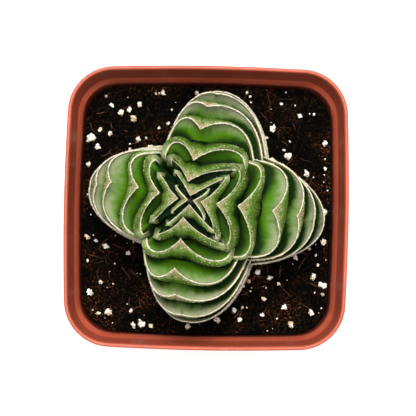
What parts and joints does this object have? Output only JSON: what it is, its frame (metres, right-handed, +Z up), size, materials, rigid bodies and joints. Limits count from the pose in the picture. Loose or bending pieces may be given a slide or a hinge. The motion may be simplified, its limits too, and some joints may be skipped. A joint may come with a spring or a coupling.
{
  "type": "potted crassula",
  "caption": "Small stacked, four-armed leafy succulent in dark soil with perlite, in a rounded square plastic nursery pot.",
  "frame": {"origin": "centre of the pot's foot, on the surface it stands on", "axes": "+Z up along the pot's height; +X towards the plant's right arm and +Y towards its back arm, as the picture shows them from above"},
  "size_m": [0.0648, 0.0648, 0.0785],
  "materials": {
    "pot": "satin moulded terracotta-coloured plastic",
    "soil": "damp dark peat with white perlite grains",
    "stem": "matt green",
    "leaf": "velvety matt green with pale edges"
  },
  "bodies": {
    "root": {"pot": "pot", "soil": "soil", "stem": "stem", "leaf_01_right": "leaf", "leaf_01_left": "leaf", "leaf_02_back": "leaf", "leaf_02_front": "leaf", "leaf_03_right": "leaf", "leaf_03_left": "leaf", "leaf_04_back": "leaf", "leaf_04_front": "leaf", "leaf_05_right": "leaf", "leaf_05_left": "leaf", "leaf_06_back": "leaf", "leaf_06_front": "leaf", "leaf_07_right": "leaf", "leaf_07_left": "leaf", "leaf_08_back": "leaf", "leaf_08_front": "leaf", "leaf_09_right": "leaf", "leaf_09_left": "leaf", "leaf_10_back": "leaf", "leaf_10_front": "leaf", "leaf_11_right": "leaf", "leaf_11_left": "leaf", "leaf_12_back": "leaf", "leaf_12_front": "leaf", "leaf_13_right": "leaf", "leaf_13_left": "leaf", "leaf_14_back": "leaf", "leaf_14_front": "leaf", "leaf_15_right": "leaf", "leaf_15_left": "leaf", "leaf_16_back": "leaf", "leaf_16_front": "leaf"}
  },
  "joints": []
}
